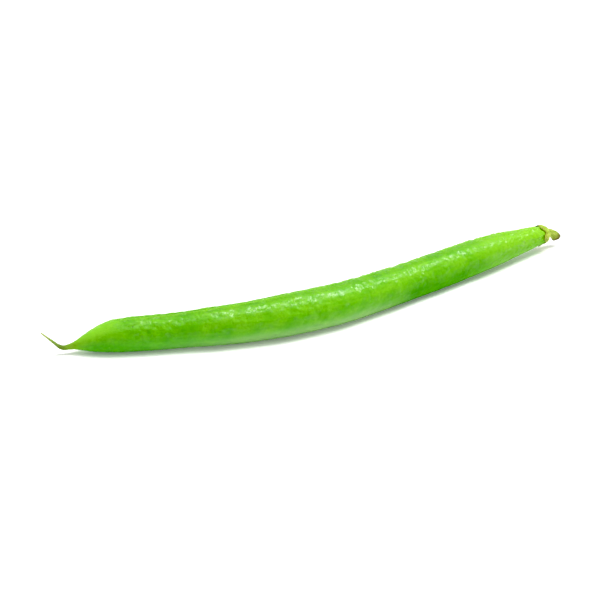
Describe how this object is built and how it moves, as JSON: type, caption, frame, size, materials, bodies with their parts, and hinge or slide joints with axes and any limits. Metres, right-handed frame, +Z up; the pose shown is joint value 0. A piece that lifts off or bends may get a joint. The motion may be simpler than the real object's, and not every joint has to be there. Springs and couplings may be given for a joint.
{
  "type": "green bean",
  "caption": "Slender round green bean pod, gently curved, with a kinked thin beak at one end and a withered calyx and short snapped stem at the other.",
  "frame": {"origin": "bottom centre of the bounding box, on the surface that the bean lies on", "axes": "+X along the bean from its beak to its stem, +Y towards the inside of its curve, +Z up"},
  "size_m": [0.1166, 0.018, 0.0082],
  "materials": {
    "pod_skin": "satin",
    "withered_calyx": "matte",
    "snapped_stem": "matte"
  },
  "bodies": {
    "root": {"pod": "pod_skin", "calyx": "withered_calyx", "stem": "snapped_stem"}
  },
  "joints": []
}
